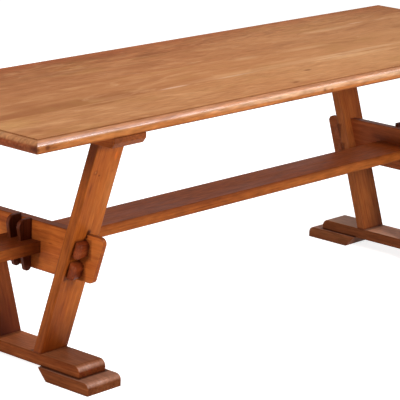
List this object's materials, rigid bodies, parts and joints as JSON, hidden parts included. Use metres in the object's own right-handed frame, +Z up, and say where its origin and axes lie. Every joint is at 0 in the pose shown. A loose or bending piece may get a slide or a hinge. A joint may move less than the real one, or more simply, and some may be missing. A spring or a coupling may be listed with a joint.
{
  "type": "dining table",
  "caption": "Long wooden trestle dining table: glued board top on V-shaped trestles, joined by a through stretcher and locked by removable wooden keys and pegs.",
  "frame": {"origin": "on the floor under the middle of the table top", "axes": "+X along the table to its right end, +Y across it to its back long side, +Z up"},
  "size_m": [2.364, 0.74, 0.752],
  "materials": {
    "top_wood": "satin",
    "trestle_wood": "satin",
    "stretcher_wood": "satin",
    "foot_wood": "satin",
    "wedge_wood": "satin",
    "screw_steel": "brushed"
  },
  "bodies": {
    "table_frame": {"top_board_1": "top_wood", "top_board_2": "top_wood", "top_board_3": "top_wood", "top_board_4": "top_wood", "stretcher": "stretcher_wood", "bearer_left": "trestle_wood", "bearer_screws_left": "screw_steel", "crossbar_left": "trestle_wood", "sole_left": "foot_wood", "leg_front_left": "trestle_wood", "pad_front_left": "foot_wood", "leg_back_left": "trestle_wood", "pad_back_left": "foot_wood", "bearer_right": "trestle_wood", "bearer_screws_right": "screw_steel", "crossbar_right": "trestle_wood", "sole_right": "foot_wood", "leg_front_right": "trestle_wood", "pad_front_right": "foot_wood", "leg_back_right": "trestle_wood", "pad_back_right": "foot_wood"},
    "key_front_left": {"key_front_left": "wedge_wood"},
    "peg_upper_front_left": {"peg_upper_front_left": "wedge_wood"},
    "peg_lower_front_left": {"peg_lower_front_left": "wedge_wood"},
    "key_back_left": {"key_back_left": "wedge_wood"},
    "peg_upper_back_left": {"peg_upper_back_left": "wedge_wood"},
    "peg_lower_back_left": {"peg_lower_back_left": "wedge_wood"},
    "key_front_right": {"key_front_right": "wedge_wood"},
    "peg_upper_front_right": {"peg_upper_front_right": "wedge_wood"},
    "peg_lower_front_right": {"peg_lower_front_right": "wedge_wood"},
    "key_back_right": {"key_back_right": "wedge_wood"},
    "peg_upper_back_right": {"peg_upper_back_right": "wedge_wood"},
    "peg_lower_back_right": {"peg_lower_back_right": "wedge_wood"}
  },
  "joints": [
    {"name": "key_front_left_lift", "type": "slide", "parent": "table_frame", "child": "key_front_left", "axis": [0, 0, 1], "range_m": [0, 0.089]},
    {"name": "peg_upper_front_left_draw", "type": "slide", "parent": "table_frame", "child": "peg_upper_front_left", "axis": [-1, 0, 0], "range_m": [0, 0.06]},
    {"name": "peg_lower_front_left_draw", "type": "slide", "parent": "table_frame", "child": "peg_lower_front_left", "axis": [-1, 0, 0], "range_m": [0, 0.06]},
    {"name": "key_back_left_lift", "type": "slide", "parent": "table_frame", "child": "key_back_left", "axis": [0, 0, 1], "range_m": [0, 0.089]},
    {"name": "peg_upper_back_left_draw", "type": "slide", "parent": "table_frame", "child": "peg_upper_back_left", "axis": [-1, 0, 0], "range_m": [0, 0.06]},
    {"name": "peg_lower_back_left_draw", "type": "slide", "parent": "table_frame", "child": "peg_lower_back_left", "axis": [-1, 0, 0], "range_m": [0, 0.06]},
    {"name": "key_front_right_lift", "type": "slide", "parent": "table_frame", "child": "key_front_right", "axis": [0, 0, 1], "range_m": [0, 0.089]},
    {"name": "peg_upper_front_right_draw", "type": "slide", "parent": "table_frame", "child": "peg_upper_front_right", "axis": [1, 0, 0], "range_m": [0, 0.06]},
    {"name": "peg_lower_front_right_draw", "type": "slide", "parent": "table_frame", "child": "peg_lower_front_right", "axis": [1, 0, 0], "range_m": [0, 0.06]},
    {"name": "key_back_right_lift", "type": "slide", "parent": "table_frame", "child": "key_back_right", "axis": [0, 0, 1], "range_m": [0, 0.089]},
    {"name": "peg_upper_back_right_draw", "type": "slide", "parent": "table_frame", "child": "peg_upper_back_right", "axis": [1, 0, 0], "range_m": [0, 0.06]},
    {"name": "peg_lower_back_right_draw", "type": "slide", "parent": "table_frame", "child": "peg_lower_back_right", "axis": [1, 0, 0], "range_m": [0, 0.06]}
  ]
}
